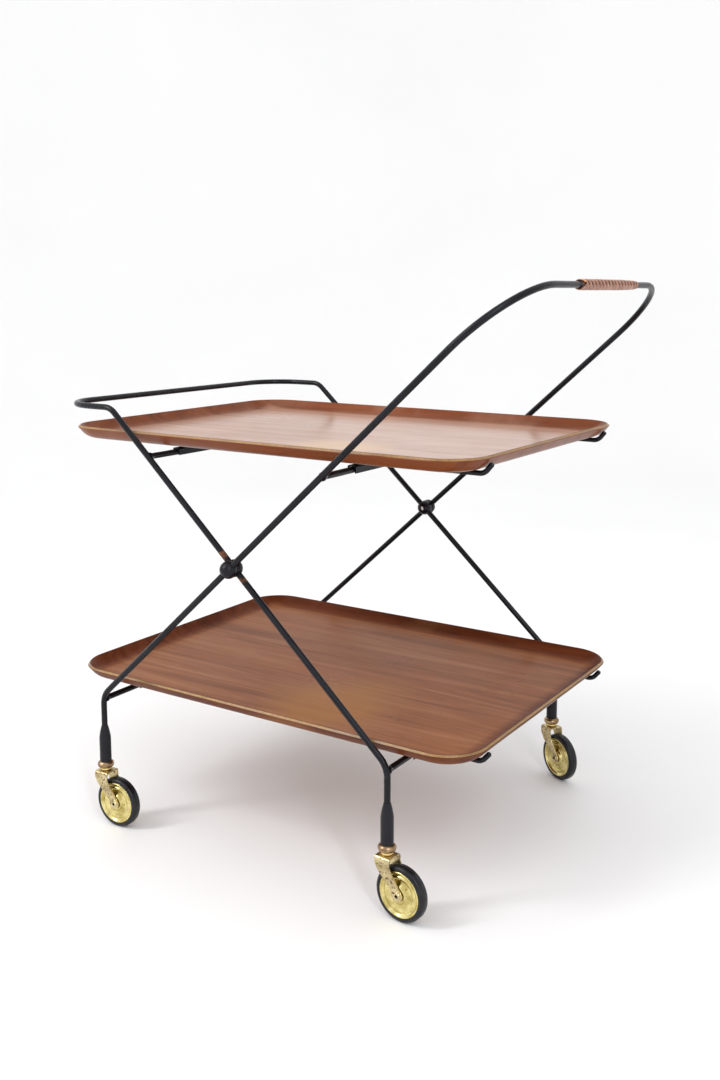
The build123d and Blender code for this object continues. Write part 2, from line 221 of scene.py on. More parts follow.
def enamel(name, dark, light, gloss, rust_points=()):
    """Satin stove enamel: fine orange peel, uneven gloss, pin-head chips and rust round given points."""
    made, tree, shader = new_material(name, {"IOR": 1.5, "Specular IOR Level": 0.22})
    where = place(tree)
    broad = cloud(tree, where, 30 * MM, 4)
    peel = cloud(tree, where, 1.6 * MM, 3)
    colour = ramp(tree, broad, [(0.3, dark), (0.75, light)])
    chips = grey_ramp(tree, cloud(tree, where, 5 * MM, 6, 0.7), [(0.71, 0), (0.735, 1)])
    for point, reach in rust_points:
        patch = math_node(tree, "MULTIPLY", near(tree, point, reach), cloud(tree, where, 6 * MM, 6, 0.7))
        chips = math_node(tree, "MAXIMUM", chips, grey_ramp(tree, patch, [(0.26, 0), (0.32, 1)]))
    rust = ramp(tree, cloud(tree, where, 2 * MM, 4), [(0.3, (0.07, 0.028, 0.014)), (0.7, (0.2, 0.085, 0.04))])
    tree.links.new(blend(tree, chips, colour, rust), shader.inputs["Base Color"])
    rough = ramp(tree, broad, [(0.3, (gloss,) * 3), (0.7, (gloss + 0.12,) * 3)])
    tree.links.new(blend(tree, chips, rough, (0.8, 0.8, 0.8, 1)), shader.inputs["Roughness"])
    height = math_node(tree, "SUBTRACT", peel, chips)
    relief(tree, shader, height, 0.05 * MM, 0.5)
    return made


def on_floor(tree, where, tray_node):
    """A mask that is 1 over a tray's flat floor and 0 on its rim; it divides the painted reflection on the
    floor from the painted shade on the rim.
    """
    low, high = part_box(tray_node)
    rim, centre = 22 * MM, (low + high) / 2
    shifted = node(tree, "VectorMath", {0: where, 1: tuple(centre)}, operation="SUBTRACT").outputs[0]
    parts = node(tree, "SeparateXYZ", {"Vector": shifted})
    masks = []
    for axis in range(2):
        edge = high[axis] - centre[axis] - rim
        gap = node(tree, "Math", {0: parts.outputs[axis]}, operation="ABSOLUTE").outputs[0]
        fade = {"Value": gap, "From Min": edge - 9 * MM, "From Max": edge + 5 * MM, "To Min": 1.0,
                "To Max": 0.0}
        masks.append(node(tree, "MapRange", fade).outputs[0])
    return math_node(tree, "MULTIPLY", *masks)


def teak(name, tray_node, shaded_rim_tones, lit_floor_tones, streak, clear, shine, pool_of_light=None):
    """Lacquered teak veneer, grain along X: figure, streaks, dark pores, soft blotches of wear, a floor
    painted lighter as painted reflection of the white room, a rim painted darker as painted shade, and a
    painted pool of light when one is given.
    """
    made, tree, shader = new_material(name, {"IOR": 1.5, "Specular IOR Level": shine, "Coat Roughness": 0.16,
                                             "Coat IOR": 1.5})
    floor = on_floor(tree, place(tree), tray_node)
    tree.links.new(math_node(tree, "MULTIPLY", floor, clear), shader.inputs["Coat Weight"])
    figure = cloud(tree, place(tree, (1, 14, 14)), 420 * MM, 5, 0.6, 1.2)
    fibres = cloud(tree, place(tree, (3, 160, 160)), 330 * MM, 4, 0.65)
    pores = cloud(tree, place(tree, (14, 700, 700)), 600 * MM, 2, 0.6)
    blotch_and_pool_noise = cloud(tree, place(tree), 130 * MM, 4, 0.55)
    stops = (0.25, 0.5, 0.75)
    # painted light: the rim tones are darker as painted shade on the rim walls, the floor tones lighter as
    # painted reflection of the white room on the flat floor
    rim = ramp(tree, figure, list(zip(stops, shaded_rim_tones)))
    painted_floor_light = ramp(tree, figure, list(zip(stops, lit_floor_tones)))
    colour = blend(tree, floor, rim, painted_floor_light)
    lines = grey_ramp(tree, fibres, [(0.3, 1), (0.47, 0.25), (0.72, 0)])
    colour = blend(tree, math_node(tree, "MULTIPLY", lines, 0.4), colour, (*streak, 1))
    dark_pores = grey_ramp(tree, pores, [(0.24, 1), (0.36, 0)])
    colour = blend(tree, math_node(tree, "MULTIPLY", dark_pores, 0.45), colour, (*streak, 1))
    worn = grey_ramp(tree, blotch_and_pool_noise, [(0.55, 0), (0.8, 1)])
    colour = blend(tree, math_node(tree, "MULTIPLY", worn, 0.3), colour, (*lit_floor_tones[2], 1))
    # painted light: a lighter patch toward the near side of the floor is a painted pool of light, broken up
    # by the blotch noise
    if pool_of_light:
        point, reach, tone = pool_of_light
        painted_pool_mask = math_node(tree, "MULTIPLY", near(tree, point, reach), math_node(tree, "ADD", blotch_and_pool_noise, 0.35))
        colour = blend(tree, grey_ramp(tree, painted_pool_mask, [(0.3, 0), (0.6, 0.6)]), colour, (*tone, 1))
    tree.links.new(colour, shader.inputs["Base Color"])
    rough = grey_ramp(tree, blotch_and_pool_noise, [(0.3, 0.26), (0.75, 0.42)])
    tree.links.new(rough, shader.inputs["Roughness"])
    height = math_node(tree, "ADD", fibres, math_node(tree, "MULTIPLY", pores, 0.6))
    relief(tree, shader, height, 0.08 * MM, 0.4)
    return made


def ply(name, deep, pale):
    """End grain of one ply on the sawn edge, with lighter chips and a film of old lacquer."""
    made, tree, shader = new_material(name, {"IOR": 1.5, "Coat Weight": 0.3, "Coat Roughness": 0.3})
    where = place(tree)
    fibres = cloud(tree, where, 4 * MM, 5, 0.7)
    broad = cloud(tree, where, 60 * MM, 3)
    colour = ramp(tree, fibres, [(0.3, deep), (0.7, pale)])
    dirt = grey_ramp(tree, broad, [(0.35, 0.45), (0.6, 0)])
    colour = blend(tree, dirt, colour, (*[0.4 * part for part in deep], 1))
    chips = grey_ramp(tree, cloud(tree, where, 9 * MM, 5, 0.6), [(0.7, 0), (0.73, 1)])
    colour = blend(tree, chips, colour, (0.78, 0.56, 0.3, 1))
    tree.links.new(colour, shader.inputs["Base Color"])
    tree.links.new(grey_ramp(tree, broad, [(0.3, 0.35), (0.7, 0.6)]), shader.inputs["Roughness"])
    relief(tree, shader, fibres, 0.12 * MM, 0.6)
    return made


def metal(name, deep, bright, tarnish, gloss, spots, spot_size):
    """Old plated metal: cloudy tone, tarnish spots that are rougher and darker, fine scratches."""
    made, tree, shader = new_material(name, {"Metallic": 1.0, "IOR": 1.5})
    where = place(tree)
    clouds = cloud(tree, where, 14 * MM, 5, 0.6)
    fine = cloud(tree, where, 0.9 * MM, 3, 0.6)
    colour = ramp(tree, clouds, [(0.3, deep), (0.62, bright)])
    specks = grey_ramp(tree, cloud(tree, where, spot_size, 4, 0.65), [(spots, 0), (spots + 0.06, 1)])
    colour = blend(tree, specks, colour, (*tarnish, 1))
    tree.links.new(colour, shader.inputs["Base Color"])
    rough = grey_ramp(tree, clouds, [(0.3, gloss + 0.12), (0.65, gloss)])
    tree.links.new(blend(tree, specks, rough, (0.6, 0.6, 0.6, 1)), shader.inputs["Roughness"])
    relief(tree, shader, math_node(tree, "SUBTRACT", fine, specks), 0.04 * MM, 0.35)
    return made


def collar_metal():
    """Copper-brown collar that is rubbed to bright brass on its lower lip."""
    made, tree, shader = new_material("copper_collar_metal", {"Metallic": 1.0, "IOR": 1.5})
    where = place(tree)
    low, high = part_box("front_left_swivel_collar")
    level = node(tree, "SeparateXYZ", {"Vector": where}).outputs["Z"]
    worn = node(tree, "MapRange", {"Value": level, "From Min": low.z + 2.6 * MM, "From Max": low.z + 5 * MM,
                                   "To Min": 1.0, "To Max": 0.0}).outputs[0]
    clouds = cloud(tree, where, 7 * MM, 5, 0.6)
    copper = ramp(tree, clouds, [(0.3, (0.15, 0.09, 0.05)), (0.55, (0.38, 0.26, 0.15)),
                                 (0.75, (0.58, 0.44, 0.26))])
    brass = ramp(tree, clouds, [(0.3, (0.62, 0.44, 0.16)), (0.7, (0.9, 0.7, 0.33))])
    tree.links.new(blend(tree, worn, copper, brass), shader.inputs["Base Color"])
    tree.links.new(grey_ramp(tree, clouds, [(0.3, 0.42), (0.7, 0.24)]), shader.inputs["Roughness"])
    relief(tree, shader, cloud(tree, where, 1.2 * MM, 3), 0.04 * MM, 0.4)
    return made


def rubber():
    """Black tyre rubber: polished crown, dusty grey bloom in places, faint scuffs."""
    made, tree, shader = new_material("tyre_rubber", {"IOR": 1.5, "Specular IOR Level": 0.3})
    where = place(tree)
    dust = cloud(tree, where, 12 * MM, 5, 0.6)
    colour = ramp(tree, dust, [(0.35, (0.004, 0.004, 0.006)), (0.8, (0.02, 0.02, 0.024))])
    tree.links.new(colour, shader.inputs["Base Color"])
    tree.links.new(grey_ramp(tree, dust, [(0.3, 0.24), (0.75, 0.45)]), shader.inputs["Roughness"])
    relief(tree, shader, cloud(tree, where, 0.8 * MM, 3), 0.04 * MM, 0.35)
    return made


def leather(name, deep, body, pale, painted_crease_shade):
    """Old tan leather: cloudy dye, fine pebble grain, and when asked painted shade that goes near black in
    the folds and gaps of the lacing.
    """
    made, tree, shader = new_material(name, {"IOR": 1.45, "Sheen Weight": 0.15, "Sheen Roughness": 0.5})
    where = place(tree)
    dye = cloud(tree, where, 9 * MM, 4, 0.6)
    cells = node(tree, "TexVoronoi", {"Vector": where, "Scale": 1 / (0.9 * MM)}).outputs["Distance"]
    colour = ramp(tree, dye, [(0.25, deep), (0.5, body), (0.75, pale)])
    if painted_crease_shade:
        # painted shade: darkens the leather toward near black where the lacing folds and gapes
        depth = node(tree, "Attribute", {}, attribute_name="fold_shade").outputs["Fac"]
        colour = blend(tree, depth, colour, (0.055, 0.016, 0.007, 1))
    tree.links.new(colour, shader.inputs["Base Color"])
    tree.links.new(grey_ramp(tree, dye, [(0.3, 0.55), (0.7, 0.42)]), shader.inputs["Roughness"])
    relief(tree, shader, cells, 0.12 * MM, 0.5)
    return made


def pale_floor():
    """White painted floor with a faint unevenness."""
    made, tree, shader = new_material("pale_floor", {"IOR": 1.4, "Specular IOR Level": 0.25})
    where = place(tree)
    tone = ramp(tree, cloud(tree, where, 0.9, 3), [(0.3, (0.88, 0.88, 0.885)), (0.7, (0.91, 0.91, 0.912))])
    tree.links.new(tone, shader.inputs["Base Color"])
    tree.links.new(grey_ramp(tree, cloud(tree, where, 0.15, 3), [(0.3, 0.5), (0.7, 0.6)]),
                   shader.inputs["Roughness"])
    return made


# ---- mesh building ----

def new_mesh(name, points, faces, materials, sharp=38, indices=None):
    """A mesh object with smooth shading that breaks at edges sharper than the given angle."""
    mesh = bpy.data.meshes.new(name)
    mesh.from_pydata([tuple(point) for point in points], [], faces)
    for material in materials:
        mesh.materials.append(material)
    if indices:
        mesh.polygons.foreach_set("material_index", indices)
    work = bmesh.new()
    work.from_mesh(mesh)
    bmesh.ops.remove_doubles(work, verts=work.verts, dist=1e-6)
    bmesh.ops.recalc_face_normals(work, faces=work.faces)
    work.to_mesh(mesh)
    work.free()
    mesh.shade_smooth()
    mesh.set_sharp_from_angle(angle=math.radians(sharp))
    made = bpy.data.objects.new(name, mesh)
    bpy.context.scene.collection.objects.link(made)
    return made


def skin_faces(count, rings, closed_ring=True, loop=False, caps=True, start=0):
    """Quads over rings of count points each; loop joins the last ring to the first."""
    faces = []
    for i in range(rings if loop else rings - 1):
        a, b = start + i * count, start + (i + 1) % rings * count
        for j in range(count if closed_ring else count - 1):
            k = (j + 1) % count
            faces.append((a + j, a + k, b + k, b + j))
    if caps and not loop:
        faces.append(tuple(range(start, start + count)))
        faces.append(tuple(range(start + (rings - 1) * count, start + rings * count)))
    return faces


def skin(name, rings, materials, closed_ring=True, loop=False, caps=True, sharp=38):
    """A mesh over rings of points."""
    points = [point for ring in rings for point in ring]
    faces = skin_faces(len(rings[0]), len(rings), closed_ring, loop, caps)
    return new_mesh(name, points, faces, materials, sharp)


def joined(name, objects):
    """Several mesh objects as one."""
    work = bmesh.new()
    for part in objects:
        work.from_mesh(part.data)
    mesh = bpy.data.meshes.new(name)
    work.to_mesh(mesh)
    work.free()
    for material in objects[0].data.materials:
        mesh.materials.append(material)
    for part in objects:
        bpy.data.objects.remove(part)
    made = bpy.data.objects.new(name, mesh)
    bpy.context.scene.collection.objects.link(made)
    return made


def rounded_path(corners, radii, step=math.radians(5)):
    """Points of straight runs whose corners are tangent arcs."""
    corners = [Vector(corner) for corner in corners]
    points = [corners[0]]
    for before, corner, after, radius in zip(corners, corners[1:], corners[2:], radii):
        back, ahead = (before - corner).normalized(), (after - corner).normalized()
        turn = math.pi - back.angle(ahead)
        centre = corner + (back + ahead).normalized() * radius / math.cos(turn / 2)
        first = corner + back * radius * math.tan(turn / 2) - centre
        last = corner + ahead * radius * math.tan(turn / 2) - centre
        steps = max(3, math.ceil(turn / step))
        turning = first.cross(last).normalized()
        points += [centre + Matrix.Rotation(turn * i / steps, 3, turning) @ first for i in range(steps + 1)]
    return points + [corners[-1]]


def tube_rings(path, radius, sides):
    """Rings of a round rod along a path, carried without twist. radius may be a function of (i, angle)."""
    axis = (path[1] - path[0]).normalized()
    across = axis.orthogonal().normalized()
    rings = []
    for i, point in enumerate(path):
        ahead = (path[min(i + 1, len(path) - 1)] - path[max(i - 1, 0)]).normalized()
        across = axis.rotation_difference(ahead) @ across
        axis = ahead
        up = axis.cross(across)
        ring = []
        for j in range(sides):
            angle = math.tau * j / sides
            reach = radius(i, angle) if callable(radius) else radius
            ring.append(point + (across * math.cos(angle) + up * math.sin(angle)) * reach)
        rings.append(ring)
    return rings


def lathe(name, outline, materials, centre=(0, 0, 0), along="Z", sides=72, closed=True, sharp=38):
    """A solid turned from (radius, distance) points about an axis through centre."""
    rings = []
    for i in range(sides):
        c, s = math.cos(math.tau * i / sides), math.sin(math.tau * i / sides)
        if along == "Z":
            ring = [Vector((r * c, r * s, h)) for r, h in outline]
        else:
            ring = [Vector((r * c, h, r * s)) for r, h in outline]
        rings.append([Vector(centre) + point for point in ring])
    return skin(name, rings, materials, closed_ring=closed, loop=True, sharp=sharp)


def eased(points, steps=5):
    """A Catmull-Rom curve through outline points."""
    points = [Vector(point) for point in points]
    padded = [2 * points[0] - points[1], *points, 2 * points[-1] - points[-2]]
    curve = []
    for a, b, c, d in zip(padded, padded[1:], padded[2:], padded[3:]):
        for i in range(steps):
            t = i / steps
            curve.append(0.5 * (2 * b + (c - a) * t + (2 * a - 5 * b + 4 * c - d) * t * t
                                + (3 * b - a - 3 * c + d) * t ** 3))
    return [tuple(point) for point in [*curve, points[-1]]]


def arc(centre, radius, start, end, steps=6):
    """Points of a circular arc in the outline's plane, angles in degrees."""
    angles = [math.radians(start + (end - start) * i / steps) for i in range(steps + 1)]
    return [(centre[0] + radius * math.cos(a), centre[1] + radius * math.sin(a)) for a in angles]


def cut(target, cutter):
    """Takes cutter out of target, for good."""
    modifier = target.modifiers.new("cut", "BOOLEAN")
    modifier.operation = "DIFFERENCE"
    modifier.solver = "EXACT"
    modifier.object = cutter
    graph = bpy.context.evaluated_depsgraph_get()
    mesh = bpy.data.meshes.new_from_object(target.evaluated_get(graph))
    target.modifiers.clear()
    target.data = mesh
    bpy.data.objects.remove(cutter)
    return target


def stand_in(piece, *nodes):
    """The piece takes the place and the body of CAD nodes."""
    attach(piece, NODES[nodes[0]]["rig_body"])
    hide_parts(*nodes)
    return piece


def copied(master, name, leg, turn):
    """A copy of a piece made about the leg axis, turned and moved to its corner through its mesh."""
    mesh = master.data.copy()
    mesh.transform(Matrix.Translation(leg) @ Matrix.Rotation(turn, 4, "Z"))
    made = bpy.data.objects.new(name, mesh)
    bpy.context.scene.collection.objects.link(made)
    return made


# ---- frames ----

def handle_rod(material):
    """Outer rod, from the front left leg over the handle to the front right leg."""
    leg_x = HANDLE_LOW.x + ROD_R
    knee_z = PIVOT.z - (PIVOT.x - leg_x) * SLOPE
    y = HANDLE.y
    side = [(leg_x, -y, HANDLE_LOW.z), (leg_x, -y, knee_z), (HANDLE.x, -y, HANDLE.z)]
    corners = side + [(px, -py, pz) for px, py, pz in reversed(side)]
    path = rounded_path(corners, [KNEE_R, HANDLE_CORNER_R, HANDLE_CORNER_R, KNEE_R])
    rod = skin("handle_frame_enamel_rod", tube_rings(path, ROD_R, 28), [material])
    return stand_in(rod, "handle_frame_rod")


def gallery_rod(material):
    """Inner rod, from the rear left leg round the gallery rail to the rear right leg."""
    low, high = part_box("gallery_frame_rod")
    leg_x, y, rail_x, rail_z = high.x - ROD_R, high.y - ROD_R, low.x + ROD_R, high.z - ROD_R
    knee_z = PIVOT.z - (leg_x - PIVOT.x) * SLOPE
    bend_x = PIVOT.x - (rail_z - PIVOT.z) / SLOPE
    side = [(leg_x, -y, low.z), (leg_x, -y, knee_z), (bend_x, -y, rail_z), (rail_x, -y, rail_z)]
    corners = side + [(px, -py, pz) for px, py, pz in reversed(side)]
    bends = [KNEE_R, RAIL_BEND_R, RAIL_CORNER_R]
    path = rounded_path(corners, bends + bends[::-1])
    rod = skin("gallery_frame_enamel_rod", tube_rings(path, ROD_R, 28), [material])
    return stand_in(rod, "gallery_frame_rod")


def welded_crossbar(node_name, side_y, material):
    """A crossbar whose ends swell into lumpy weld beads against the side rods."""
    centre = middle(node_name)
    low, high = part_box(node_name)
    bar_r = (high.z - low.z) / 2
    weld_reach, weld_height = 4.5 * MM, 1.7 * MM
    seam = side_y - ROD_R
    near_end = [0, 0.6, 1.2, 1.9, 2.7, 3.6, 4.5, 6]
    right = [seam + 2 * MM, *[seam - step * MM for step in near_end]]
    stations = [-y for y in right] + right[::-1]
    path = [Vector((centre.x, y, centre.z)) for y in stations]

    def swell(i, angle):
        gap = max(0.0, seam - abs(stations[i]))
        lumps = 0.75 + 0.25 * noise.noise(Vector((math.cos(angle), math.sin(angle), stations[i] * 300)) * 2.2)
        return bar_r + weld_height * lumps * max(0.0, 1 - gap / weld_reach) ** 1.5
    bar = skin(f"{node_name}_welded", tube_rings(path, swell, 28), [material])
    return stand_in(bar, node_name)


def hooked_wire(node_name, material):
    """Wire under a tray, its ends hooked up at the box's own slope and rounded off at the tips."""
    low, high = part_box(node_name)
    radius = (high.y - low.y) / 2
    wire_z, y = low.z + radius, (low.y + high.y) / 2
    tip_z = high.z - radius * math.cos(HOOK_ANGLE)
    tip_in = radius * math.sin(HOOK_ANGLE)
    rise = (tip_z - wire_z) / math.tan(HOOK_ANGLE)
    corners = [(low.x + tip_in, y, tip_z), (low.x + tip_in + rise, y, wire_z),
               (high.x - tip_in - rise, y, wire_z), (high.x - tip_in, y, tip_z)]
    path = rounded_path(corners, [HOOK_BEND_R, HOOK_BEND_R])
    tip = 1.2 * MM
    ends = [path[0] + (path[1] - path[0]).normalized() * tip,
            path[-1] + (path[-2] - path[-1]).normalized() * tip]
    path = [path[0], ends[0], *path[1:-1], ends[1], path[-1]]
    last = len(path) - 1
    rings = tube_rings(path, lambda i, a: radius * (0.72 if i in (0, last) else 1), 20)
    return stand_in(skin(f"{node_name}_enamelled", rings, [material]), node_name)


# ---- trays ----

def tray(node_name, name, materials, seed):
    """Moulded ply tray: floor, swept rim and a sawn edge that shows its plies."""
    low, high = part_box(node_name)
    outer_r = TRAY_BEND_R + PLY
    outward = Vector((math.cos(RIM_ANGLE), math.sin(RIM_ANGLE)))
    flat_x = (high.x - low.x) / 2 - outer_r * math.sin(RIM_ANGLE) - RIM_WALL * outward.x
    flat_y = (high.y - low.y) / 2 - outer_r * math.sin(RIM_ANGLE) - RIM_WALL * outward.x
    flat_corner = TRAY_CORNER_R - TRAY_BEND_R * math.sin(RIM_ANGLE) - RIM_WALL * outward.x
    centre = Vector(((low.x + high.x) / 2, (low.y + high.y) / 2, low.z))
    wave = Vector((seed, 0.3, 0.7))

    def on_bend(radius, angle):
        return (radius * math.sin(angle), outer_r - radius * math.cos(angle))
    bend_steps, wall_steps, arris = 12, 3, 0.35 * MM
    wall_run = [outward * RIM_WALL * i / wall_steps for i in range(wall_steps)]
    section = [(-4 * MM, 0.0), (0.0, 0.0)]
    section += [on_bend(outer_r, RIM_ANGLE * i / bend_steps) for i in range(1, bend_steps)]
    section += [tuple(Vector(on_bend(outer_r, RIM_ANGLE)) + run) for run in wall_run]
    bands = [0] * len(section)
    plies = [(0.0, 0), (0.17, 2), (0.22, 1), (0.48, 2), (0.52, 1), (0.8, 2), (0.86, 0), (1.0, 0)]
    foot = Vector(on_bend(outer_r, RIM_ANGLE)) + outward * RIM_WALL
    head = Vector(on_bend(TRAY_BEND_R, RIM_ANGLE)) + outward * RIM_WALL
    for share, band in plies:
        back = arris if share in (0.0, 1.0) else (0.12 * MM if band == 2 else 0.0)
        section.append(tuple(foot.lerp(head, share) - outward * back))
        bands.append(band)
    section += [tuple(Vector(on_bend(TRAY_BEND_R, RIM_ANGLE)) + run) for run in reversed(wall_run)]
    section += [on_bend(TRAY_BEND_R, RIM_ANGLE * i / bend_steps) for i in range(bend_steps - 1, -1, -1)]
    section.append((-4 * MM, PLY))
    bands += [0] * (len(section) - len(bands))

    stations = []
    for sign_x, sign_y, start in ((1, 1, 0), (-1, 1, 90), (-1, -1, 180), (1, -1, 270)):
        for i in range(13):
            angle = math.radians(start + 90 * i / 12)
            stations.append((sign_x * (flat_x - flat_corner), sign_y * (flat_y - flat_corner),
                             math.cos(angle), math.sin(angle)))
        after = {0: (-1, 1), 90: (-1, -1), 180: (1, -1), 270: (1, 1)}[start]
        run_to = (after[0] * (flat_x - flat_corner), after[1] * (flat_y - flat_corner))
        here = stations[-1]
        for i in range(1, 12):
            t = i / 12
            stations.append((here[0] + (run_to[0] - here[0]) * t, here[1] + (run_to[1] - here[1]) * t,
                             here[2], here[3]))
    rings = []
    for base_x, base_y, out_x, out_y in stations:
        ring = []
        for out, up in section:
            reach = flat_corner + out
            point = Vector((base_x + out_x * reach, base_y + out_y * reach, up))
            wobble = noise.noise(point * 9 + wave) * 0.4 * MM * max(0.0, out) / TRAY_BEND_R
            ring.append(centre + point - Vector((out_x, out_y, 0)) * abs(wobble))
        rings.append(ring)
    count = len(section)
    faces = skin_faces(count, len(rings), closed_ring=False, loop=True)
    indices = [bands[j] for _ in rings for j in range(count - 1)]
    faces.append(tuple(i * count for i in range(len(rings))))
    faces.append(tuple(i * count + count - 1 for i in range(len(rings))))
    indices += [0, 0]
    points = [point for ring in rings for point in ring]
    return stand_in(new_mesh(name, points, faces, materials, 50, indices), node_name)


# ---- grip ----

def laced_grip(sleeve_leather, lace_leather, tail_leather, lining):
    """Leather sleeve round the handle bar: puckered by its lacing, gaping at the slit, split at one end."""
    low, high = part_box("handle_grip_wrap")
    axis = Vector((HANDLE.x, 0, HANDLE.z))
    length = high.y - low.y
    turns, slit = 17.0, math.radians(24)
    full_r, end_r, taper = (high.z - low.z) / 2, 4.9 * MM, 45 * MM
    split = 11 * MM
    rows, sides = 420, 72

    def body_radius(y):
        from_end = high.y - y
        if from_end >= taper:
            return full_r - 0.5 * MM
        return end_r + (full_r - 0.5 * MM - end_r) * (from_end / taper) ** 0.8

    def lean(y):
        return math.radians(34) * (0.55 - (y - low.y) / length) * 1.6

    points, painted_crease_shade = [], []
    for i in range(rows + 1):
        y = low.y + length * i / rows
        for j in range(sides):
            angle = slit + math.tau * (j + 0.5) / sides
            off = (angle - slit + math.pi) % math.tau - math.pi
            phase = (y - low.y) / length * turns + off * lean(y) / 2.2
            rib = math.cos(math.tau * phase)
            nearness = math.exp(-(off / 0.95) ** 2)
            gap = max(0.0, -rib - 0.15) / 0.85 * math.exp(-(off / 0.4) ** 4)
            jitter = noise.noise(Vector((y * 220, off * 1.5, 3.1)))
            reach = body_radius(y) + (0.42 * rib * nearness + 0.14 * rib * (1 - nearness)) * MM
            reach += 0.22 * MM * jitter - 1.75 * MM * gap
            reach = max(ROD_R + 0.25 * MM, min(reach, full_r))
            if i in (0, rows):
                reach = min(reach, ROD_R + 0.7 * (reach - ROD_R))
            points.append(axis + Vector((math.cos(angle) * reach, y, math.sin(angle) * reach)))
            # painted shade, strongest in the gaps at the slit and in the folds between the ribs near it
            painted_crease_shade.append(min(1.0, gap * 2.4 + 0.55 * max(0.0, -rib) * nearness))
    faces = []
    for i in range(rows):
        y = low.y + length * (i + 0.5) / rows
        mouth = max(0.0, 1 - (y - low.y) / split) * 0.95
        for j in range(sides):
            off = (math.tau * (j + 1) / sides + math.pi) % math.tau - math.pi
            if abs(off) < mouth:
                continue
            k = (j + 1) % sides
            faces.append((i * sides + j, i * sides + k, (i + 1) * sides + k, (i + 1) * sides + j))
    sleeve = new_mesh("handle_grip_leather_sleeve", points, faces, [sleeve_leather], 60)
    layer = sleeve.data.attributes.new("fold_shade", "FLOAT", "POINT")
    if len(sleeve.data.vertices) == len(painted_crease_shade):
        layer.data.foreach_set("value", painted_crease_shade)
    thickness = sleeve.modifiers.new("leather thickness", "SOLIDIFY")
    thickness.thickness = 0.9 * MM
    thickness.offset = -1
    stand_in(sleeve, "handle_grip_wrap")

    lining_path = [Vector((axis.x, low.y + 1.5 * MM, axis.z)), Vector((axis.x, high.y - 1 * MM, axis.z))]
    inner = skin("handle_grip_lining", tube_rings(lining_path, ROD_R + 0.2 * MM, 32), [lining])
    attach(inner, "handle_frame")

    def strand(name, start, end, width, material):
        """A flat lace lying on the sleeve from start to end, each (y, angle)."""
        rings = []
        steps = 14
        for i in range(steps + 1):
            t = i / steps
            y = start[0] + (end[0] - start[0]) * t
            angle = start[1] + (end[1] - start[1]) * t
            crown = 0.55 * MM * math.sin(math.pi * t) ** 0.5
            reach = min(body_radius(y) - 0.55 * MM + crown, full_r - 0.25 * MM)
            out = Vector((math.cos(angle), 0, math.sin(angle)))
            side = Vector((0, 1, 0))
            half = width / 2 * (0.75 + 0.25 * math.sin(math.pi * t))
            ring = []
            for j in range(12):
                turn = math.tau * j / 12
                ring.append(axis + Vector((0, y, 0)) + out * (reach + 0.5 * MM * math.sin(turn))
                            + side * half * math.cos(turn))
            rings.append(ring)
        return skin(name, rings, [material], sharp=70)

    laces = []
    draw = random.Random(5)
    for i in range(int(turns)):
        y = low.y + length * (i + 1) / turns + draw.uniform(-0.3, 0.3) * MM
        if y > high.y - 3 * MM:
            continue
        slant = lean(y) * length / turns / math.tau * 4.4
        reach = 0.62 + draw.uniform(-0.05, 0.05)
        laces.append(strand("lace", (y + slant * reach, slit + reach), (y - slant * reach, slit - reach),
                            2.7 * MM, lace_leather))
    lacing = joined("handle_grip_lacing", laces)
    lacing.data.shade_smooth()
    tail = strand("handle_grip_lace_tail", (low.y + 2.5 * MM, slit + 1.0), (low.y + 7.5 * MM, slit + 0.1),
                  6 * MM, tail_leather)
    for piece in (lacing, tail):
        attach(piece, "handle_frame")


# ---- casters, made about their own leg axis ----

def socket_master(material):
    """Enamelled socket that tapers smoothly from the rod to its full width."""
    low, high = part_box("front_left_leg_socket")
    radius = (high.x - low.x) / 2
    bottom, top = low.z, high.z
    outer = [(radius - 0.9 * MM, bottom), (radius - 0.25 * MM, bottom + 0.3 * MM),
             (radius, bottom + 1.1 * MM), (radius, bottom + 14 * MM), (radius, top - 19 * MM),
             (radius - 0.2 * MM, top - 15 * MM),
             (radius - 1.2 * MM, top - 9 * MM), (radius - 2.5 * MM, top - 3.5 * MM),
             (ROD_R + 0.3 * MM, top - 0.3 * MM)]
    outline = [(ROD_R - 0.3 * MM, bottom), *eased(outer, 5), (ROD_R - 0.3 * MM, top)]
    return lathe("socket_master", outline, [material], sides=48)


def collar_master(material):
    """Bulbous collar over a narrower boss that stands on the fork."""
    low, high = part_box("front_left_swivel_collar")
    radius = (high.x - low.x) / 2
    belly = (low.z + 2.6 * MM + high.z) / 2
    half = (high.z - low.z - 2.6 * MM) / 2
    ring = [(radius - half + half * math.cos(a), belly + half * math.sin(a) * 0.98)
            for a in (math.radians(d) for d in range(-78, 91, 8))]
    bore = 3.8 * MM
    boss = [(bore, low.z), (6.6 * MM, low.z), (7.2 * MM, low.z + 0.5 * MM), (7.3 * MM, low.z + 1.9 * MM),
            (6.8 * MM, low.z + 2.5 * MM)]
    return lathe("collar_master", [*boss, *ring, (bore, high.z)], [material], sides=64, sharp=50)


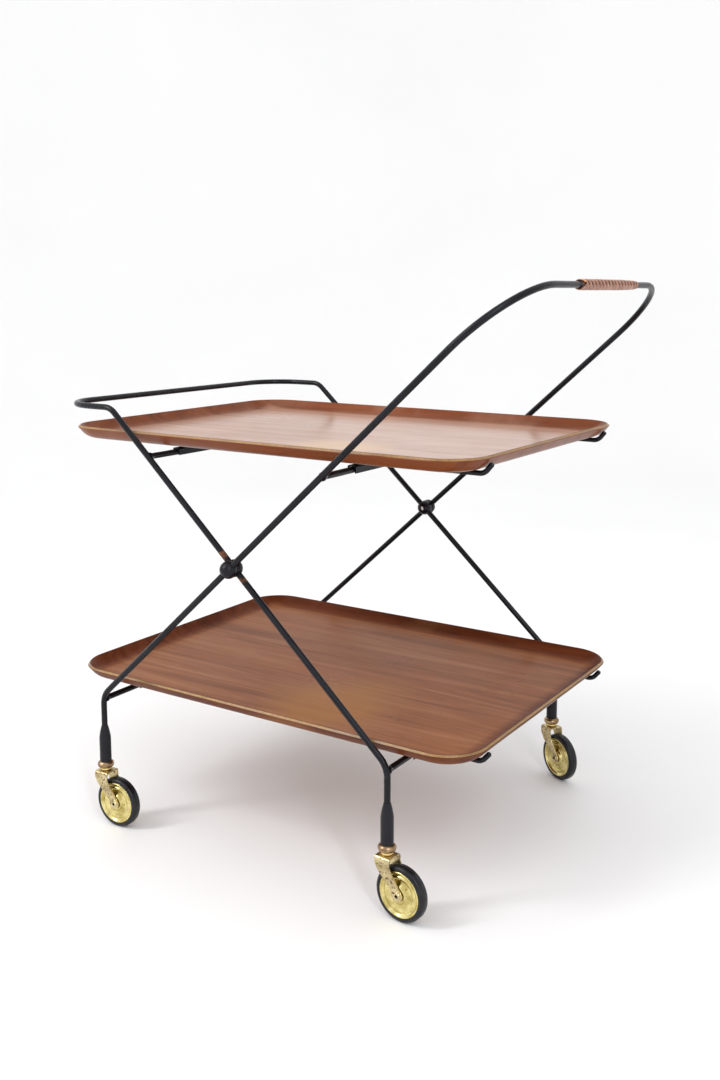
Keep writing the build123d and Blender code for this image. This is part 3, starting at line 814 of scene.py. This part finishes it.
def fork_master(material, corner):
    """Stamped fork: one strip that runs up a cheek, over the plate and down the other cheek."""
    axle = wheel_place(corner)
    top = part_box(f"{corner}_fork")[1].z
    sheet = FORK_SHEET
    cheek_y, arm_y = FORK_HALF_TOP - sheet / 2, FORK_HALF_EYE - sheet / 2
    front = [(top - 8 * MM, PLATE_X0 + 0.1 * MM), (top - 12 * MM, PLATE_X0 + 1.8 * MM),
             (top - 16 * MM, PLATE_X0 + 4.8 * MM), (top - 24 * MM, PLATE_X0 + 11 * MM),
             (top - 33 * MM, PLATE_X0 + 19 * MM), (axle.z + 2.5 * MM, axle.x - EYE_R + 0.5 * MM)]
    rear = [(top - 8 * MM, PLATE_X1 + 0.2 * MM), (top - 12 * MM, PLATE_X1 + 1.5 * MM),
            (top - 16 * MM, PLATE_X1 + 3.4 * MM), (top - 24 * MM, PLATE_X1 + 7.5 * MM),
            (top - 33 * MM, PLATE_X1 + 13 * MM), (axle.z + 2.5 * MM, axle.x + EYE_R - 0.5 * MM)]

    def edge(points, z):
        if z >= points[0][0]:
            return points[0][1]
        for (z0, x0), (z1, x1) in zip(points, points[1:]):
            if z >= z1:
                return x0 + (x1 - x0) * (z0 - z) / (z0 - z1)
        reach = math.sqrt(max(0.0, EYE_R ** 2 - (z - axle.z) ** 2))
        return axle.x + math.copysign(reach, points[-1][1] - axle.x)

    crank_high, crank_low, bend = top - 19.3 * MM, top - 24.3 * MM, 3.4 * MM
    half = [(arm_y, axle.z - EYE_R * math.cos(math.radians(a))) for a in range(14, 105, 10)]
    half += [(arm_y, axle.z + step * MM) for step in (4, 7, 10, 12.5)]
    half += [(arm_y, crank_low - 0.6 * MM), (arm_y + 0.18 * MM, crank_low + 0.6 * MM),
             (arm_y + 0.75 * MM, (crank_low + crank_high) / 2),
             (cheek_y - 0.18 * MM, crank_high - 0.6 * MM), (cheek_y, crank_high + 0.6 * MM)]
    half += [(cheek_y, top - step * MM) for step in (17, 14, 11, 8, 5.5)]
    middle_r = bend - sheet / 2
    centre = (cheek_y - middle_r, top - bend)
    half += arc(centre, middle_r, 0, 90, 7)
    half += [(cheek_y - middle_r - 2.2 * MM, top - sheet / 2)]
    line = [Vector((0, -y, z)) for y, z in half] + [Vector((0, y, z)) for y, z in reversed(half)]
    columns = 13
    rings = []
    for i, point in enumerate(line):
        ahead = (line[min(i + 1, len(line) - 1)] - line[max(i - 1, 0)]).normalized()
        out = Vector((0, -ahead.z, ahead.y))
        x0, x1 = edge(front, point.z), edge(rear, point.z)
        soft = 0.45 * MM
        outer, inner = [], []
        for j in range(columns):
            t = j / (columns - 1)
            x = x0 + (x1 - x0) * t
            dent = 0.0
            if crank_low - 3 * MM < point.z < crank_high + 2 * MM:
                across = (x - (x0 + x1) / 2) / (3 * MM)
                down = (point.z - (crank_low + crank_high) / 2) / (2.6 * MM)
                dent = 0.8 * MM * math.exp(-across ** 2 - down ** 2)
            outer.append(Vector((x, 0, 0)) + point + out * (sheet / 2 - dent))
            inner.append(Vector((x, 0, 0)) + point - out * (sheet / 2 + dent))
        outer[0] -= out * soft * 0.6
        outer[-1] -= out * soft * 0.6
        rim0 = outer[0].lerp(outer[1], 0.12) + out * soft * 0.5
        rim1 = outer[-1].lerp(outer[-2], 0.12) + out * soft * 0.5
        ring = [outer[0], rim0, *outer[1:-1], rim1, outer[-1], *reversed(inner)]
        rings.append(ring)
    made = skin("fork_master", rings, [material], sharp=32)
    through = [(0, -30 * MM), (RIVET_HOLE_R, -30 * MM), (RIVET_HOLE_R, 30 * MM), (0, 30 * MM)]
    hole = lathe("fork_hole", through, [material], centre=axle, along="Y", sides=32)
    return cut(made, hole)


def disc_master(material, corner):
    """Two pressed discs back to back: hub, dish, ring bead and raised lip, with one small hole."""
    wheel = wheel_place(corner)
    low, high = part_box(f"{corner}_wheel_discs")
    radius, half = (high.z - low.z) / 2, DISC_HALF
    face = [(4.3, 7.0), (6.6, 7.0), (8.0, 6.8), (9.2, 5.9), (10.6, 4.8), (12.4, 4.25), (14.6, 4.2),
            (16.0, 4.35), (17.0, 4.9), (18.0, 5.15), (18.9, 4.9), (19.6, 4.35), (20.5, 4.35), (21.4, 4.9),
            (22.2, 5.8), (22.9, 6.35), (23.6, 6.5), (24.2, 6.3)]
    spread = radius / 24.5
    outline = [(r * spread, h * MM) for r, h in eased(face, 3)] + [(radius, half * 0.83)]
    mirrored = [(r, -h) for r, h in reversed(outline)]
    made = lathe("disc_master", outline + mirrored, [material], centre=wheel, along="Y", sides=96)
    spot = math.radians(DISC_HOLE_ANGLE[corner])
    where = wheel + Vector((math.cos(spot), 0, math.sin(spot))) * DISC_HOLE_X
    for side in (-1, 1):
        near_end, far_end = 3.2 * MM * side, 12 * MM * side
        bit = [(0, near_end), (DISC_HOLE_R, near_end), (DISC_HOLE_R, far_end), (0, far_end)]
        drill = lathe("disc_drill", bit, [material], centre=where, along="Y", sides=24)
        made = cut(made, drill)
    made.data.shade_smooth()
    made.data.set_sharp_from_angle(angle=math.radians(38))
    return made


def tyre_master(material, corner):
    """Rubber tyre: rounded crown with a parting line, small lips against the discs."""
    wheel = wheel_place(corner)
    low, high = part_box(f"{corner}_tyre")
    radius, half = (high.z - low.z) / 2, TYRE_HALF
    disc_low, disc_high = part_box(f"{corner}_wheel_discs")
    inner = (disc_high.z - disc_low.z) / 2
    edge = 3.9 * MM
    crown = arc((radius - edge, half - edge), edge, 90, 8, 8)
    side = [(inner, half - 0.9 * MM), (inner + 0.5 * MM, half - 0.2 * MM), *crown,
            (radius - 0.12 * MM, 0.5 * MM), (radius, 0.22 * MM)]
    outline = side + [(r, -h) for r, h in reversed(side)]
    return lathe("tyre_master", outline, [material], centre=wheel, along="Y", sides=96)


def casters(looks):
    """All four casters; masters are made about the first leg and copied through their meshes."""
    first = CORNERS[0]
    masters = {"leg_socket": socket_master(looks["socket"]), "swivel_collar": collar_master(looks["collar"]),
               "fork": fork_master(looks["fork"], first), "tyre": tyre_master(looks["rubber"], first)}
    for corner in CORNERS:
        leg = Vector(JOINTS[f"{corner}_swivel"]["pos_m"])
        leg.z = 0
        turn = heading(corner)
        for kind, master in masters.items():
            stand_in(copied(master, f"{corner}_{kind}_finished", leg, turn), f"{corner}_{kind}")
        discs = disc_master(looks["disc"], corner)
        stand_in(copied(discs, f"{corner}_pressed_discs", leg, turn), f"{corner}_wheel_discs")
        bpy.data.objects.remove(discs)
    for master in masters.values():
        bpy.data.objects.remove(master)


# ---- studio ----

def studio():
    """Pale floor that sweeps up into a backdrop behind the cart, an even white world and two softboxes."""
    scene = bpy.context.scene
    scene.view_settings.view_transform = "Standard"
    scene.view_settings.look = "None"
    world = bpy.data.worlds.new("studio")
    world.use_nodes = True
    back = world.node_tree.nodes["Background"]
    back.inputs["Color"].default_value = (1.0, 1.0, 1.0, 1)
    back.inputs["Strength"].default_value = 1.04
    scene.world = world

    floor_z = cad_box[0].z
    behind, spread, flat, cove, wall = math.radians(123), math.radians(100), 2.6, 2.2, 5.0
    sweep = [(flat + x, cove + z) for x, z in arc((0, 0), cove, -90, 0, 16)]
    profile = [(0.0, 0.0), (0.6, 0.0), (flat, 0.0), *sweep, (flat + cove, wall)]
    sectors = 72
    rings = []
    for i in range(sectors):
        angle = math.tau * i / sectors
        off = abs((angle - behind + math.pi) % math.tau - math.pi)
        rise = max(0.0, min(1.0, 1.5 * (1 - off / spread)))
        c, s = math.cos(angle), math.sin(angle)
        rings.append([Vector((r * c, r * s, floor_z + z * rise)) for r, z in profile])
    skin("floor_and_backdrop", rings, [pale_floor()], closed_ring=False, loop=True, caps=False,
                  sharp=80)

    def softbox(name, where, size, power, colour):
        light = bpy.data.lights.new(name, "AREA")
        light.shape = "RECTANGLE"
        light.size, light.size_y = size
        light.energy = power
        light.color = colour
        made = bpy.data.objects.new(name, light)
        made.location = where
        made.rotation_mode = "QUATERNION"
        made.rotation_quaternion = (Vector((0, 0, 0.35)) - Vector(where)).to_track_quat("-Z", "Y")
        scene.collection.objects.link(made)
    softbox("key_softbox", (-1.5, -1.9, 2.2), (0.45, 1.8), 34, (1.0, 0.99, 0.98))
    softbox("strip_softbox", (1.9, -1.7, 1.9), (0.25, 1.6), 18, (0.9, 0.94, 1.0))


def camera():
    """The camera stands low at the near right, just under the handle's height."""
    lens = bpy.data.cameras.new("camera")
    lens.lens = 37.7
    lens.shift_y = -0.0782
    made = bpy.data.objects.new("camera", lens)
    made.location = (0.7893, -1.2164, 0.6845)
    made.rotation_euler = (math.radians(81.7), 0, math.radians(33.2))
    bpy.context.scene.collection.objects.link(made)
    bpy.context.scene.camera = made


# ---- the cart ----

camera()
studio()

down = Vector((1, 0, -SLOPE)).normalized()
near_side = Vector((0, -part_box("gallery_frame_rod")[1].y + ROD_R, 0))
rust = [(tuple(PIVOT + near_side - down * 20 * MM), 14 * MM),
        (tuple(PIVOT + near_side + down * 19 * MM), 12 * MM)]
black = enamel("black_enamel", (0.003, 0.003, 0.005), (0.009, 0.009, 0.013), 0.2, rust)
socket_black = enamel("socket_enamel", (0.006, 0.006, 0.008), (0.014, 0.014, 0.018), 0.3)
steel = metal("grey_steel", (0.25, 0.24, 0.23), (0.5, 0.49, 0.47), (0.12, 0.07, 0.04), 0.3, 0.62, 2.5 * MM)
disc_brass = metal("disc_brass", (0.4, 0.3, 0.07), (0.84, 0.74, 0.34), (0.12, 0.08, 0.02), 0.15, 0.66, 3 * MM)
fork_brass = metal("fork_brass", (0.3, 0.22, 0.11), (0.72, 0.6, 0.33), (0.1, 0.07, 0.045), 0.27, 0.56,
                   2.6 * MM)
tyre_rubber = rubber()
looks = {"socket": socket_black, "collar": collar_metal(), "fork": fork_brass, "disc": disc_brass,
         "rubber": tyre_rubber}
core = ply("ply_core", (0.24, 0.12, 0.03), (0.46, 0.26, 0.07))
glue = ply("ply_glue_line", (0.1, 0.04, 0.018), (0.17, 0.075, 0.03))
# painted pools of light on both tray floors, toward the lit near side
top_tray_light_pool = (tuple(middle("top_tray") + Vector((70, -120, 0)) * MM), 120 * MM, (0.6, 0.36, 0.15))
bottom_tray_light_pool = (tuple(middle("bottom_tray") + Vector((60, -110, 0)) * MM), 170 * MM, (0.36, 0.16, 0.04))
# each tray's first tones are painted shade for its rim, the second painted reflection for its floor
top_teak = teak("teak_top_veneer", "top_tray",
                ((0.12, 0.03, 0.009), (0.19, 0.05, 0.016), (0.25, 0.078, 0.03)),
                ((0.34, 0.165, 0.1), (0.46, 0.25, 0.165), (0.56, 0.34, 0.24)),
                (0.13, 0.035, 0.013), 0.5, 0.14, top_tray_light_pool)
bottom_teak = teak("teak_bottom_veneer", "bottom_tray",
                   ((0.06, 0.014, 0.005), (0.12, 0.03, 0.011), (0.18, 0.052, 0.02)),
                   ((0.16, 0.052, 0.018), (0.27, 0.098, 0.038), (0.38, 0.165, 0.072)),
                   (0.07, 0.018, 0.007), 0.04, 0.05, bottom_tray_light_pool)

handle_rod(black)
gallery_rod(black)
for node_name, side_y in (("handle_frame_upper_crossbar", HANDLE.y),
                          ("handle_frame_lower_crossbar", HANDLE.y),
                          ("gallery_frame_upper_crossbar", -near_side.y),
                          ("gallery_frame_lower_crossbar", -near_side.y)):
    welded_crossbar(node_name, side_y, black)
for level in ("top", "bottom"):
    for side in ("left", "right"):
        hooked_wire(f"{level}_carrier_{side}_wire", black)
tray("top_tray", "top_tray_ply", [top_teak, core, glue], 1.7)
tray("bottom_tray", "bottom_tray_ply", [bottom_teak, core, glue], 8.2)
# the grip leather gets painted shade in its folds and gaps
laced_grip(leather("grip_leather", (0.17, 0.06, 0.03), (0.3, 0.125, 0.07), (0.45, 0.23, 0.145), True),
           leather("lace_leather", (0.24, 0.095, 0.05), (0.38, 0.175, 0.105), (0.52, 0.29, 0.195), False),
           leather("tail_leather", (0.5, 0.18, 0.06), (0.68, 0.28, 0.09), (0.78, 0.38, 0.15), False),
           leather("lining_leather", (0.05, 0.015, 0.008), (0.09, 0.03, 0.014), (0.13, 0.05, 0.025), False))
casters(looks)

CAD_LOOKS = {"enamel": black, "steel": steel, "brass_fork": fork_brass}
for name, cad_node in NODES.items():
    if not cad_node.hide_render:
        for material_slot in cad_node.material_slots:
            material_slot.material = CAD_LOOKS[SLOT_OF[name]]
